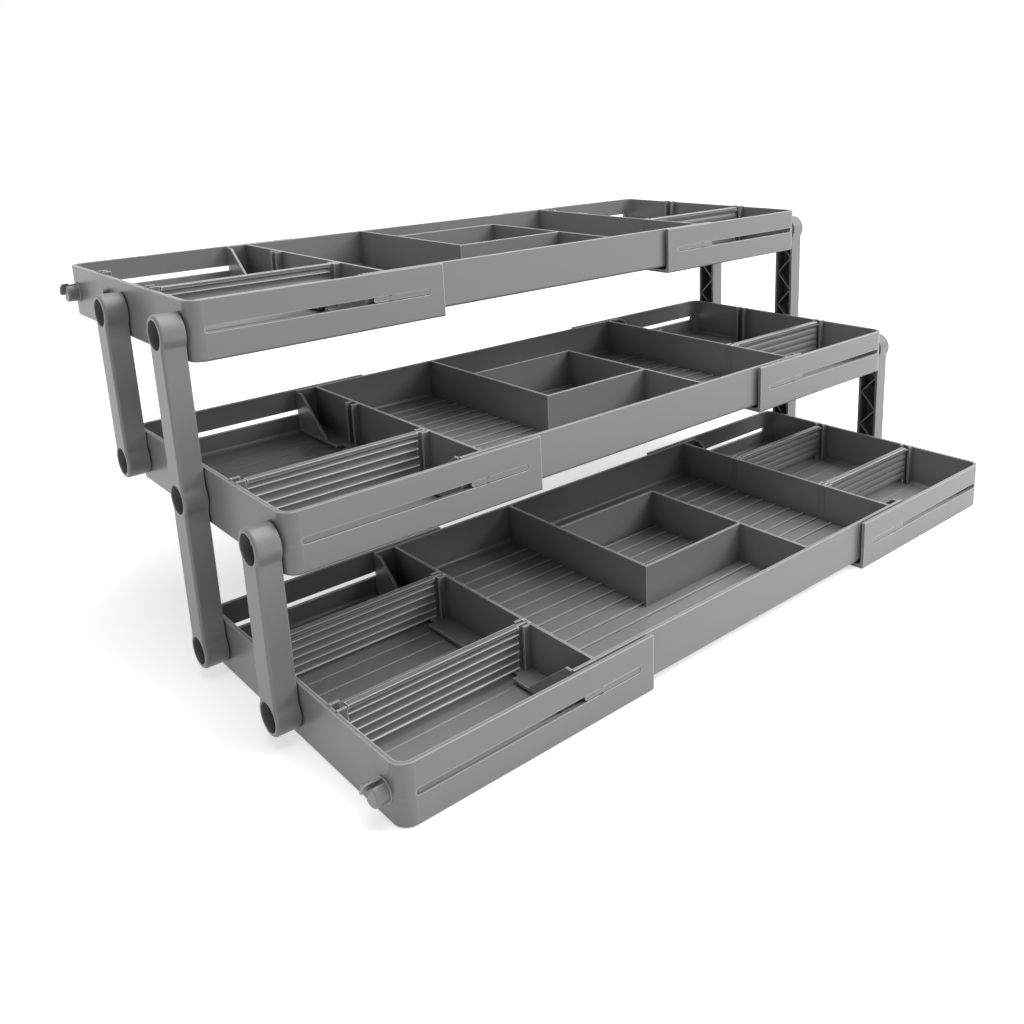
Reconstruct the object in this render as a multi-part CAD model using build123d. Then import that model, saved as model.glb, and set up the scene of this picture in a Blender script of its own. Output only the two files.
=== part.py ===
from build123d import *
from math import atan2, degrees, hypot, radians, tan
import os

os.makedirs("parts", exist_ok=True)

# Whole organizer, opened out. All sizes are millimetres.
open_width = 500.0  # outside of one end wall to the outside of the other
tray_depth = 195.0
tray_height = 32.0
tier_step = 85.0  # each tier stands this far behind the one below, and pins have this spacing
tier_rise = 88.0  # and this far above it, which is also an upright arm's pivot spacing

# End trays: the outer sleeves, moulded in one with their snap pins
end_tray_length = 152.5
end_wall = 2.2
end_floor = 2.2
corner_radius = 8.0
foot_radius = 1.5
floor_fillet = 3.0
end_rib_count = 6  # floor ribs on each side of the middle
end_rib_width = 1.7
end_rib_height = 0.5
end_rib_slope = 50.0

# Slots in the sleeve's front and back walls, and the bars of the centre tray that run in them
slot_margin = 9.3  # from the sleeve's open end to the slot
slot_length = 135.4
slot_height = 3.5
slot_level = 16.5
bar_length = 38.0
bar_gap_above = 0.1
bar_gap_below = 0.4
bar_end_gap = 0.2  # to the slot's inner end when opened out
bar_recess = 0.3  # below the sleeve's outer face

# Centre tray
center_length = 297.0
center_side_gap = 1.8  # to the sleeve's front and back walls
center_wall = 1.8
center_base = 4.2  # underside above the tier's foot
center_floor = 1.6
center_foot_radius = 2.0
center_inner_radius = 2.6
center_rib_count = 6
center_rib_pitch = 12.1
center_rib_width = 1.2
center_rib_height = 1.0
partition_thickness = 1.6
end_partition_x = 134.4
inner_partition_x = 43.4
gusset_thickness = 1.5
gusset_top = 30.9
gusset_flat = 6.6
gusset_run = 36.5  # from the front or back wall to the slope's foot
gusset_toe = 0.8  # height left of the slope where it meets the floor
flange_notch_depth = 4.6

# Guide channels that hold the dividers
guide_y = 39.5
guide_rib_offset = 3.5
guide_rib_thickness = 1.6
guide_rib_reach = 4.5
guide_rib_proud = 1.0  # above the rim of the end tray

# Dividers
divider_top_drop = 0.1  # below the rim
divider_bottom = 7.4
rail_width = 4.0
rail_height = 2.0
flute_count = 5
flute_bulge = 0.8
bead_radius = 0.4  # on the edges between flutes, on the hollow side
panel_thickness = 1.8
panel_gap = 1.5  # from the corrugated panel to the ends of the guide ribs
tab_thickness = 1.6
tab_gap = 0.6  # from the tab to the end wall
tab_drop = 2.6  # from the rail's top to the tab's
head_gap = 0.12  # round the head plate in its slot
seat_gap = 0.1  # under the divider's feet

# Snap pins on the end walls: a plain thick part, and a lipped finger behind a slit
pin_level = 15.6
pin_radius = 5.4
pin_reach = 7.2
pin_chamfer = 0.6
finger_reach = 9.4
pin_lip_radius = 6.2
pin_lip_chamfer = 1.0
pin_slit = 2.8
pin_slit_start = 1.1  # beyond the pin's axis, upwards and to the rear
pin_slit_angle = 35.0
collar_radius = 6.2
collar_height = 0.8
nub_offset = 23.5  # centre of the arm stop behind the middle pin
nub_width = 4.0
nub_height = 3.6
nub_base = 21.0
nub_reach = 3.4

# Link arms
arm_gap = 0.1  # to the collars
arm_thickness = 12.4
arm_width = 16.4
head_radius = 10.2
head_blend = 4.0
arm_edge_radius = 1.5
arm_face = 2.0
arm_side = 1.8
truss_count = 5  # diagonals in each span
truss_thickness = 1.0
truss_setback = 1.0
bore_fit = 0.05
seat_depth = 8.6
seat_radius = 7.9
lip_fit = 0.1  # under the snap lips

overlap = 0.5  # how far joined shapes run into one another before they are fused
tiers = ("bottom", "middle", "top")
sleeve_start = open_width / 2 - end_tray_length
inner_face = open_width / 2 - end_wall
center_depth = tray_depth - 2 * end_wall - 2 * center_side_gap
center_half = center_length / 2
floor_top = center_base + center_floor
divider_top = tray_height - divider_top_drop
guide_width = 2 * guide_rib_offset - guide_rib_thickness
pin_place = {"front": -tier_step, "middle": 0, "rear": tier_step}


def box(x, y, z):
    """Box between the two limits given for each axis."""
    block = Box(x[1] - x[0], y[1] - y[0], z[1] - z[0])
    return Pos(sum(x) / 2, sum(y) / 2, sum(z) / 2) * block


def bar_along_x(points, start, end):
    """Bar whose outline is given in the YZ plane."""
    outline = Plane.YZ * make_face(Polyline(*points, close=True))
    return Pos(start, 0, 0) * extrude(outline, amount=end - start)


def tray_block(length, depth, low, high, corner, foot):
    """Solid block with rounded upright corners and a rounded foot."""
    block = box((-length / 2, length / 2), (-depth / 2, depth / 2), (low, high))
    block = fillet(block.edges().filter_by(Axis.Z), corner)
    return fillet(block.faces().sort_by(Axis.Z)[0].edges(), foot)


def guide_ribs(start, end, low, high):
    """Two rib pairs, one in front of the middle and one behind it."""
    ribs = []
    for guide in (-guide_y, guide_y):
        for offset in (-guide_rib_offset, guide_rib_offset):
            near = guide + offset - guide_rib_thickness / 2
            ribs.append(box((start, end), (near, near + guide_rib_thickness), (low, high)))
    return ribs


def snap_pin():
    """Split pin standing on the YZ plane: a plain thick part, and a lipped finger behind a slit."""
    lip_start = collar_height + arm_gap + arm_thickness - seat_depth + lip_fit
    foot = (Align.CENTER, Align.CENTER, Align.MIN)
    plain = Cylinder(pin_radius, pin_reach + overlap, align=foot)
    plain = chamfer(plain.edges().sort_by(Axis.Z)[-1], pin_chamfer)
    finger = Cylinder(pin_radius, lip_start + overlap, align=foot)
    lip = Cylinder(pin_lip_radius, finger_reach - lip_start, align=foot)
    lip = chamfer(lip.edges().sort_by(Axis.Z)[-1], pin_lip_chamfer)
    finger += Pos(0, 0, lip_start + overlap) * lip

    cutter_size = 4 * pin_lip_radius
    cutter = Box(
        cutter_size, cutter_size, cutter_size, align=(Align.MIN, Align.CENTER, Align.MIN)
    )
    turn = Rot(0, 0, pin_slit_angle)
    plain -= turn * Pos(pin_slit_start, 0, 0) * cutter
    finger &= turn * Pos(pin_slit_start + pin_slit, 0, 0) * cutter
    pin = plain + finger + Cylinder(collar_radius, collar_height + overlap, align=foot)
    return Pos(-overlap, 0, 0) * Rot(0, 90, 0) * Rot(0, 0, 90) * pin


def end_tray():
    """Right-hand end tray, in its tier's own frame."""
    shell = tray_block(open_width, tray_depth, 0, tray_height, corner_radius, foot_radius)
    shell -= tray_block(
        open_width - 2 * end_wall,
        tray_depth - 2 * end_wall,
        end_floor,
        tray_height + end_wall,
        corner_radius - end_wall,
        floor_fillet,
    )
    shell = split(shell, bisect_by=Plane.YZ.offset(sleeve_start), keep=Keep.TOP)
    slot = extrude(Plane.XZ * SlotOverall(slot_length, slot_height), amount=tray_depth, both=True)
    slot_middle = sleeve_start + slot_margin + slot_length / 2
    shell -= Pos(slot_middle, 0, slot_level) * slot

    floor_rib_end = inner_face - floor_fillet
    rib_pitch = guide_y / 3
    foot = end_rib_width / 2
    crest = foot - end_rib_height / tan(radians(end_rib_slope))
    profile = [
        (-foot, end_floor - overlap),
        (foot, end_floor - overlap),
        (foot, end_floor),
        (crest, end_floor + end_rib_height),
        (-crest, end_floor + end_rib_height),
        (-foot, end_floor),
    ]
    rib = bar_along_x(profile, sleeve_start, floor_rib_end)
    for side in (-1, 1):
        for place in range(end_rib_count):
            shell += Pos(0, side * (place + 0.5) * rib_pitch, 0) * rib

    shell += guide_ribs(
        inner_face - guide_rib_reach,
        inner_face + overlap,
        end_floor - overlap,
        tray_height + guide_rib_proud,
    )
    for place in pin_place.values():
        shell += Pos(open_width / 2, place, pin_level) * snap_pin()
    shell += box(
        (open_width / 2 - overlap, open_width / 2 + nub_reach),
        (nub_offset - nub_width / 2, nub_offset + nub_width / 2),
        (nub_base, nub_base + nub_height),
    )
    return shell


def center_tray(filled_guides):
    """Centre tray; the guides named hold a divider, so their end partitions are open there."""
    half_depth = center_depth / 2
    inside = half_depth - center_wall
    tray = box((-center_half, center_half), (-half_depth, half_depth), (center_base, tray_height))
    tray = fillet(tray.faces().sort_by(Axis.Z)[0].edges().filter_by(Axis.X), center_foot_radius)
    hollow = box((-center_half, center_half), (-inside, inside), (floor_top, tray_height + center_wall))
    hollow = fillet(
        hollow.faces().sort_by(Axis.Z)[0].edges().filter_by(Axis.X), center_inner_radius
    )
    tray -= hollow

    half = partition_thickness / 2
    low = center_base
    for x in (-end_partition_x, end_partition_x):
        tray += box((x - half, x + half), (-inside, inside), (low, tray_height))
    rear_x = (-inner_partition_x - half, -inner_partition_x + half)
    front_x = (inner_partition_x - half, inner_partition_x + half)
    tray += box(rear_x, (-guide_y - half, inside), (low, tray_height))
    tray += box(front_x, (-inside, guide_y + half), (low, tray_height))
    for y in (-guide_y, guide_y):
        middle_x = (-inner_partition_x, inner_partition_x)
        tray += box(middle_x, (y - half, y + half), (low, tray_height))

    for place in range(-center_rib_count, center_rib_count + 1):
        y = place * center_rib_pitch
        tray += box(
            (-end_partition_x, end_partition_x),
            (y - center_rib_width / 2, y + center_rib_width / 2),
            (floor_top - overlap, floor_top + center_rib_height),
        )

    gusset = [
        (-half_depth + overlap, low),
        (-half_depth + overlap, gusset_top),
        (-half_depth + gusset_flat, gusset_top),
        (-half_depth + gusset_run, floor_top + gusset_toe),
        (-half_depth + gusset_run, low),
    ]
    plate = bar_along_x(gusset, center_half - gusset_thickness, center_half)
    plate &= box((0, center_half), (-half_depth, half_depth), (low + center_foot_radius, tray_height))
    tray += plate + mirror(plate, Plane.XZ) + mirror(plate, Plane.YZ) + Rot(0, 0, 180) * plate

    rib_start = end_partition_x + half - overlap
    rib_end = end_partition_x + half + guide_rib_reach
    for rib in guide_ribs(rib_start, rib_end, low, tray_height):
        tray += [rib, mirror(rib, Plane.YZ)]
    notch = guide_rib_offset + guide_rib_thickness / 2
    for y in (-guide_y, guide_y):
        for side in (-1, 1):
            edge = sorted((side * (center_half - flange_notch_depth), side * (center_half + overlap)))
            tray -= box(edge, (y - notch, y + notch), (0, tray_height))
    for y in filled_guides:
        for x in (-end_partition_x, end_partition_x):
            tray -= box(
                (x - partition_thickness, x + partition_thickness),
                (y - guide_width / 2, y + guide_width / 2),
                (floor_top, tray_height + overlap),
            )

    bar_height = slot_height - bar_gap_above - bar_gap_below
    bar_level = slot_level + (bar_gap_below - bar_gap_above) / 2
    bar_reach = tray_depth / 2 - bar_recess
    bar = extrude(Plane.XZ * SlotOverall(bar_length, bar_height), amount=bar_reach, both=True)
    bar -= Box(2 * bar_length, center_depth - center_wall, 2 * bar_height)
    bar_x = sleeve_start + slot_margin + bar_end_gap + bar_length / 2
    for x in (-bar_x, bar_x):
        tray += Pos(x, 0, bar_level) * bar
    return tray


def divider():
    """Divider of the right-hand side, in its guide's own frame: x and z as in the tier."""
    rib_tip = inner_face - guide_rib_reach
    head_x = (end_partition_x - partition_thickness / 2, end_partition_x + partition_thickness / 2)
    panel_x = (head_x[1] + guide_rib_reach + panel_gap, rib_tip - panel_gap)

    pitch = (divider_top - divider_bottom) / flute_count
    front = (flute_bulge - panel_thickness) / 2
    back = front + panel_thickness
    edges = []
    for place in range(flute_count):
        low = divider_bottom + place * pitch
        for y in (front, back):
            middle = (y - flute_bulge, low + pitch / 2)
            edges.append(ThreePointArc((y, low), middle, (y, low + pitch)))
    edges.append(Line((front, divider_bottom), (back, divider_bottom)))
    edges.append(Line((front, divider_top), (back, divider_top)))
    outline = make_face(edges)
    for place in range(flute_count):
        outline += Pos(back, divider_bottom + place * pitch) * Circle(bead_radius)
    panel = extrude(Plane.YZ * outline, amount=panel_x[1] - panel_x[0])
    panel = Pos(panel_x[0], 0, 0) * panel

    rail_z = (divider_top - rail_height, divider_top)
    panel += box(panel_x, (-rail_width / 2, rail_width / 2), rail_z)
    tab_y = (-tab_thickness / 2, tab_thickness / 2)
    tab_x = (panel_x[1] - overlap, inner_face - tab_gap)
    tab = box(tab_x, tab_y, (end_floor + seat_gap, divider_top - tab_drop))
    foot_edges = tab.edges().filter_by(Axis.Y).group_by(Axis.Z)[0]
    panel += chamfer(foot_edges.sort_by(Axis.X)[-1], floor_fillet)
    panel += box((head_x[0], panel_x[0] + overlap), tab_y, (floor_top + seat_gap, divider_top))
    head_half = guide_width / 2 - head_gap
    panel += box(head_x, (-head_half, head_half), (floor_top + seat_gap, tray_height))
    return panel


def arm(spans):
    """Right-hand link arm, upright, lower pivot on the X axis of its frame."""
    inner = collar_height + arm_gap
    outer = inner + arm_thickness
    length = spans * tier_rise
    pivots = [place * tier_rise for place in range(spans + 1)]
    outline = Pos(0, length / 2) * Rectangle(arm_width, length)
    for pivot in pivots:
        outline += Pos(0, pivot) * Circle(head_radius)
    corners = outline.vertices().filter_by(lambda v: abs(abs(v.X) - arm_width / 2) < 0.001)
    outline = fillet(corners, head_blend)
    body = Pos(inner, 0, 0) * extrude(Plane.YZ * outline, amount=arm_thickness)
    body = fillet(body.faces().sort_by(Axis.X)[-1].outer_wire().edges(), arm_edge_radius)

    truss_width = arm_width - 2 * arm_side
    truss_length = tier_rise - 2 * head_radius
    truss_pitch = truss_length / truss_count
    pocket_depth = arm_thickness - arm_face
    pocket = Rectangle(truss_width, tier_rise)
    for end in (-tier_rise / 2, tier_rise / 2):
        pocket -= Pos(0, end) * Circle(head_radius)
    pocket = extrude(Plane.YZ * pocket, amount=pocket_depth)
    rung_depth = pocket_depth - truss_setback
    rung = Box(rung_depth, truss_thickness, hypot(truss_width, truss_pitch))
    lean = degrees(atan2(truss_width, truss_pitch))
    for place in range(truss_count):
        level = (place + 0.5) * truss_pitch - truss_length / 2
        turn = lean if place % 2 else -lean
        pocket -= Pos(truss_setback + rung_depth / 2, 0, level) * Rot(turn, 0, 0) * rung
    for pivot in pivots[:-1]:
        body -= Pos(inner, 0, pivot + tier_rise / 2) * pocket

    for pivot in pivots:
        bore = Cylinder(pin_radius + bore_fit, 2 * outer)
        seat = Cylinder(seat_radius, 2 * seat_depth)
        body -= Pos(0, 0, pivot) * Rot(0, 90, 0) * bore
        body -= Pos(outer, 0, pivot) * Rot(0, 90, 0) * seat
    return body


def tier_place(tier):
    """Where a tier stands; the middle one is over the origin."""
    steps = tiers.index(tier) - tiers.index("middle")
    rises = tiers.index(tier)
    return Pos(0, steps * tier_step, rises * tier_rise)


def save(node, shape):
    shape.label = node
    export_step(shape, f"parts/{node}.step")


# Guides that hold a divider, tier by tier, and where each guide is
filled = {"bottom": ("front", "rear"), "middle": ("front",), "top": ("front",)}
guide_place = {"front": -guide_y, "rear": guide_y}
sleeve = end_tray()
sleeve_left = mirror(sleeve, Plane.YZ)
slat = divider()
for tier in tiers:
    place = tier_place(tier)
    save(f"{tier}_right_end_tray", place * sleeve)
    save(f"{tier}_left_end_tray", place * sleeve_left)
    filled_places = [guide_place[guide] for guide in filled[tier]]
    save(f"{tier}_center_tray", place * center_tray(filled_places))
    for guide in filled[tier]:
        seat = place * Pos(0, guide_place[guide], 0)
        save(f"{tier}_right_{guide}_divider", seat * slat)
        save(f"{tier}_left_{guide}_divider", seat * Rot(0, 0, 180) * slat)

# Each arm's lowest tier, the pin that it takes there, and its highest tier
arms = {
    "long_arm": ("bottom", "rear", "top"),
    "lower_short_arm": ("bottom", "middle", "middle"),
    "upper_short_arm": ("middle", "rear", "top"),
}
for name, (low_tier, pin, high_tier) in arms.items():
    right_arm = arm(tiers.index(high_tier) - tiers.index(low_tier))
    left_arm = mirror(right_arm, Plane.YZ)
    pivot = tier_place(low_tier) * Pos(0, pin_place[pin], pin_level)
    save(f"right_{name}", pivot * Pos(open_width / 2, 0, 0) * right_arm)
    save(f"left_{name}", pivot * Pos(-open_width / 2, 0, 0) * left_arm)
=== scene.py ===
import math

import bpy
from mathutils import Matrix, Vector


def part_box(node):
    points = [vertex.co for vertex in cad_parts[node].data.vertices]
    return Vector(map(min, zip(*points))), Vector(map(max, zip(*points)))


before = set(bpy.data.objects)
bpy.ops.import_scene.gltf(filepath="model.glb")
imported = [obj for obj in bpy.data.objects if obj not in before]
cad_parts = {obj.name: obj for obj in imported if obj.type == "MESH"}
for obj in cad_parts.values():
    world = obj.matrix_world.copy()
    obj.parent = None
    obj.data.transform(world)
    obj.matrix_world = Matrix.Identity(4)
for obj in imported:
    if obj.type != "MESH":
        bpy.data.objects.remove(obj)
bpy.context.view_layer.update()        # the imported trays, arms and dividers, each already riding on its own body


# Centre trays, one in each tier. Each is an open-ended tray moulded in grey polypropylene in one
# shot, with its partitions, floor ribs, gussets and guide bars. The mould was polished only lightly,
# so the skin is satin with a fine grain. Its colour has a painted highlight along edges and rims,
# and painted shade in its recesses.
class Shade:
    """A socket of a material's node tree, with the operators of plain maths."""

    def __init__(self, tree, value=None):
        self.tree = tree
        self.value = value

    def node(self, kind, out=0, settings=None, **values):
        """One node of the tree, with its settings, then its inputs; gives the output asked for."""
        made = self.tree.nodes.new(kind)
        for name, setting in (settings or {}).items():
            setattr(made, name, setting)
        for name, value in values.items():
            key = int(name[1:]) if name[1:].isdigit() else name.replace("_", " ")
            if isinstance(value, Shade):
                self.tree.links.new(value.value, made.inputs[key])
            else:
                made.inputs[key].default_value = value
        return Shade(self.tree, made.outputs[out] if made.outputs else None)

    def maths(self, operation, first, second=0.0):
        return self.node("ShaderNodeMath", settings={"operation": operation}, _0=first, _1=second)

    def spread(self, start, end, low=0.0, high=1.0):
        """Runs from low to high while the value goes from start to end, and is level beyond them."""
        return self.node(
            "ShaderNodeMapRange", Value=self, From_Min=start, From_Max=end, To_Min=low, To_Max=high
        )

    def __add__(self, other):
        return self.maths("ADD", self, other)

    def __radd__(self, other):
        return self.maths("ADD", other, self)

    def __sub__(self, other):
        return self.maths("SUBTRACT", self, other)

    def __rsub__(self, other):
        return self.maths("SUBTRACT", other, self)

    def __mul__(self, other):
        return self.maths("MULTIPLY", self, other)

    def __rmul__(self, other):
        return self.maths("MULTIPLY", other, self)

    def __lt__(self, other):
        return self.maths("LESS_THAN", self, other)

    def __gt__(self, other):
        return self.maths("GREATER_THAN", self, other)

    def __abs__(self):
        return self.maths("ABSOLUTE", self)

    def __floor__(self):
        return self.maths("FLOOR", self)


bottom_low, bottom_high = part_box("bottom_center_tray")
middle_low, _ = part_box("middle_center_tray")
tier_rise = middle_low.z - bottom_low.z
tier_step = middle_low.y - bottom_low.y
rim = bottom_high.z
under = 0.1  # the share of a rise under a tier that still counts as its own


def in_its_tier(shade, place):
    """A point's distance from its tier's middle, sideways and in depth, and its height there."""
    x = shade.node("ShaderNodeSeparateXYZ", out="X", Vector=place)
    y = shade.node("ShaderNodeSeparateXYZ", out="Y", Vector=place)
    z = shade.node("ShaderNodeSeparateXYZ", out="Z", Vector=place)
    tier = math.floor(z * (1 / tier_rise) + under)
    return abs(x), abs(y - (tier - 1) * tier_step), z - tier * tier_rise


edge_round = 0.0005
# How wide the painted edge highlight runs, and how it ramps up.
highlight_width = 0.0008
highlight_starts, highlight_full = 0.12, 0.42
# How far the painted recess shade looks, and how dark it gets at most.
recess_depth = 0.014
shut_in, open_out, recess_shade_tone = 0.3, 0.85, 0.45
partition_x, partition_half = 0.1344, 0.0011


def flush_joints(out_x, level):
    """1 on the end partitions below the rim, where dividers' heads lie flush: no painted highlight."""
    return (abs(out_x - partition_x) < partition_half) * (level < rim - highlight_width)


base_tone = 0.94
cloud_scale, cloud_tone, cloud_rough = 22.0, 0.08, 0.05
streak_across, streak_along, streak_tone = 260.0, 14.0, 0.03
grain_scale, grain_depth, grain_rough = 1900.0, 0.0002, 0.08
smoothest, gloss = 0.27, 0.6
blue_cast = 1.01


def satin_polymer(name, grey, edge_highlight, streak_axis, mould_line_highlights=False):
    """Grey moulded polymer: cloudy flow, drawn streaks, fine grain, painted shade in recesses, painted highlight
    on edges.
    """
    material = bpy.data.materials.new(name)
    material.use_nodes = True
    material.node_tree.nodes.clear()
    shade = Shade(material.node_tree)
    place = shade.node("ShaderNodeTexCoord", out="Object")

    cloud = shade.node(
        "ShaderNodeTexNoise", Vector=place, Scale=cloud_scale, Detail=3.0, Roughness=0.5
    )
    stretch = [streak_across] * 3
    stretch[streak_axis] = streak_along
    drawn = shade.node("ShaderNodeMapping", Vector=place, Scale=stretch)
    streak = shade.node("ShaderNodeTexNoise", Vector=drawn, Scale=1.0, Detail=2.0, Roughness=0.6)
    grain = shade.node(
        "ShaderNodeTexNoise", Vector=place, Scale=grain_scale, Detail=2.0, Roughness=0.6
    )

    # Looking into the plastic, an edge has little behind it, which sets its painted highlight. Looking
    # out, a recess has walls close by, which sets its painted shade.
    inward = {"samples": 8, "only_local": True, "inside": True}
    backing = shade.node(
        "ShaderNodeAmbientOcclusion", out="AO", settings=inward, Distance=highlight_width
    )
    # Painted highlight: edges get a paler colour where little plastic lies behind them.
    edge_highlight_mask = (1 - backing).spread(highlight_starts, highlight_full)
    outward = {"samples": 4, "only_local": True}
    openness = shade.node(
        "ShaderNodeAmbientOcclusion", out="AO", settings=outward, Distance=recess_depth
    )
    # Painted shade: colour is darkened where walls close in round a point.
    painted_recess_shade = openness.spread(shut_in, open_out, low=recess_shade_tone)

    out_x, out_y, level = in_its_tier(shade, place)
    tone = grey * (base_tone + cloud * cloud_tone + streak * streak_tone) * painted_recess_shade
    # The painted edge highlight is added here, except on the flush joints.
    tone = tone + edge_highlight_mask * (1 - flush_joints(out_x, level)) * edge_highlight
    if mould_line_highlights:
        # The mould lines get a painted highlight, a little paler than the wall.
        tone = tone + parting_line_highlights(out_x, out_y, level) * line_highlight_tone
    colour = shade.node("ShaderNodeCombineColor", Red=tone, Green=tone, Blue=tone * blue_cast)

    round_edge = shade.node("ShaderNodeBevel", settings={"samples": 8}, Radius=edge_round)
    height = grain * 0.7 + streak * 0.3
    bump = shade.node(
        "ShaderNodeBump", Height=height, Normal=round_edge, Strength=0.12, Distance=grain_depth
    )
    skin = shade.node(
        "ShaderNodeBsdfPrincipled",
        Base_Color=colour,
        Roughness=smoothest + grain * grain_rough + cloud * cloud_rough,
        Normal=bump,
        Specular_IOR_Level=gloss,
    )
    shade.node("ShaderNodeOutputMaterial", Surface=skin)
    return material


def mould(kind, plastic):
    """Gives every CAD node of this kind its plastic."""
    for name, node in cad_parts.items():
        if name.endswith(kind):
            node.data.materials.clear()
            node.data.materials.append(plastic)


tray_grey = 0.25
# Strength of the painted edge highlight on the trays.
tray_edge_highlight = 0.32
center_plastic = satin_polymer("center_tray_plastic", tray_grey, tray_edge_highlight, streak_axis=0)
mould("_center_tray", center_plastic)


# End trays, the sleeves at both ends of each tier, moulded in the same grey polypropylene as the
# centre trays, in one with their split snap pins, pin collars and arm stops. The mould's parts left
# thin lines on their rounded corners, painted a little paler as the highlight those ridges catch.
end_x, half_depth, corner_radius = 0.25, 0.0975, 0.008
end_skin, front_skin = 0.0004, 0.0003
slot_end, slot_foot = 0.2406, 0.0148
# How much paler the mould lines are painted, as a highlight.
line_core, line_reach, line_highlight_tone = 0.00015, 0.00045, 0.02


def parting_line_highlights(out_x, out_y, level):
    """Witness lines of the mould, for a painted highlight: down each rounded corner's two edges, and round it at
    the slot.
    """

    def line(value, at):
        return abs(value - at).spread(line_core, line_reach, low=1.0, high=0.0)

    front = line(out_x, end_x - corner_radius) * (out_y > half_depth - front_skin)
    end = line(out_y, half_depth - corner_radius) * (out_x > end_x - end_skin)
    corner = line(level, slot_foot) * (out_x > slot_end) * (out_y > half_depth - corner_radius)
    return front + end + corner


sleeve_plastic = satin_polymer(
    "end_tray_plastic", tray_grey, tray_edge_highlight, streak_axis=0, mould_line_highlights=True
)
mould("_end_tray", sleeve_plastic)


# Dividers, slid into the guide ribs from above. Each is a thin fluted panel of the same polymer,
# with a flat rail along its top. The beads between its flutes get the strongest painted highlight.
divider_plastic = satin_polymer("divider_plastic", grey=0.22, edge_highlight=0.6, streak_axis=0)
mould("_divider", divider_plastic)


# Link arms, snapped on to the pins of the end trays. Each is a C-shaped bar of the same polymer,
# ribbed inside in a zigzag, with its streaks running up it.
# The arms get only a faint painted edge highlight.
arm_plastic = satin_polymer("arm_plastic", grey=0.24, edge_highlight=0.12, streak_axis=2)
mould("_arm", arm_plastic)


# Studio floor and white surroundings, which aren't part of the organizer. The floor takes the
# shadow, and where nothing shades it, it shows as white as the paper roll behind a product.
floor_size = 12.0
glow_starts, glow_full, near_glow = 0.4, 2.0, 0.6
paper_grey = (0.8, 0.8, 0.8, 1.0)
pure_white = (1.0, 1.0, 1.0, 1.0)
fill_strength = 0.3


def looked_at(shade):
    """1 for what the camera sees, directly, in a reflection or through something clear."""
    return (
        shade.node("ShaderNodeLightPath", out="Is Camera Ray")
        + shade.node("ShaderNodeLightPath", out="Is Glossy Ray")
        + shade.node("ShaderNodeLightPath", out="Is Transmission Ray")
    )


bpy.ops.object.select_all(action="DESELECT")
bpy.ops.mesh.primitive_plane_add(size=floor_size)
floor = bpy.context.object
floor.name = "studio_floor"
paper = bpy.data.materials.new("studio_paper")
paper.use_nodes = True
paper.node_tree.nodes.clear()
sheet = Shade(paper.node_tree)
lit = sheet.node("ShaderNodeBsdfDiffuse", Color=paper_grey)
spot = sheet.node("ShaderNodeTexCoord", out="Object")
reach = sheet.node("ShaderNodeVectorMath", out="Value", settings={"operation": "LENGTH"}, _0=spot)
whiter = reach.spread(glow_starts, glow_full, low=near_glow)
glow = sheet.node("ShaderNodeEmission", Color=pure_white, Strength=1.0)
dark = sheet.node("ShaderNodeEmission", Strength=0.0)
extra = sheet.node("ShaderNodeMixShader", _0=looked_at(sheet) * whiter, _1=dark, _2=glow)
both = sheet.node("ShaderNodeAddShader", _0=lit, _1=extra)
sheet.node("ShaderNodeOutputMaterial", Surface=both)
floor.data.materials.append(paper)

world = bpy.data.worlds.new("studio_air")
bpy.context.scene.world = world
world.use_nodes = True
world.node_tree.nodes.clear()
air = Shade(world.node_tree)
fill = air.node("ShaderNodeBackground", Color=pure_white, Strength=fill_strength)
white = air.node("ShaderNodeBackground", Color=pure_white, Strength=1.0)
around = air.node("ShaderNodeMixShader", _0=looked_at(air), _1=fill, _2=white)
air.node("ShaderNodeOutputWorld", Surface=around)


# Soft boxes of the studio, which aren't part of the organizer: a broad one overhead, and a small one
# at the right front, well above the highest tier.
def soft_box(name, place, target, size, watts):
    """A rectangular lamp that faces a point."""
    bpy.ops.object.light_add(type="AREA", location=place)
    lamp = bpy.context.object
    lamp.name = name
    lamp.data.shape = "RECTANGLE"
    lamp.data.size, lamp.data.size_y = size
    lamp.data.energy = watts
    aim = Vector(target) - lamp.location
    lamp.rotation_euler = aim.to_track_quat("-Z", "Y").to_euler()


soft_box("top_box", place=(0.35, -0.1, 1.9), target=(0, 0, 0.1), size=(2.2, 1.8), watts=32.5)
soft_box("near_box", place=(0.75, -0.8, 0.75), target=(0.1, 0, 0.1), size=(0.6, 0.5), watts=7.2)


# Camera, at the photo's place: low at the front left, a little above the highest tier. Its shift
# frames the picture as the photo is framed.
camera_place = (-0.42523, -0.50205, 0.29631)
camera_azimuth = -41.62
camera_elevation = 14.92
camera_roll = -1.75
camera_data = bpy.data.cameras.new("photo_camera")
camera = bpy.data.objects.new("photo_camera", camera_data)
bpy.context.scene.collection.objects.link(camera)
camera.location = camera_place
turn = Matrix.Rotation(math.radians(camera_azimuth), 3, "Z")
tilt = Matrix.Rotation(math.radians(90 - camera_elevation), 3, "X")
roll = Matrix.Rotation(math.radians(camera_roll), 3, "Z")
camera.rotation_euler = (turn @ tilt @ roll).to_euler()
camera_data.lens = 34.863
camera_data.shift_x = -0.0678
camera_data.shift_y = -0.1397
camera_data.clip_start = 0.01
bpy.context.scene.camera = camera
bpy.context.scene.view_settings.view_transform = "Standard"
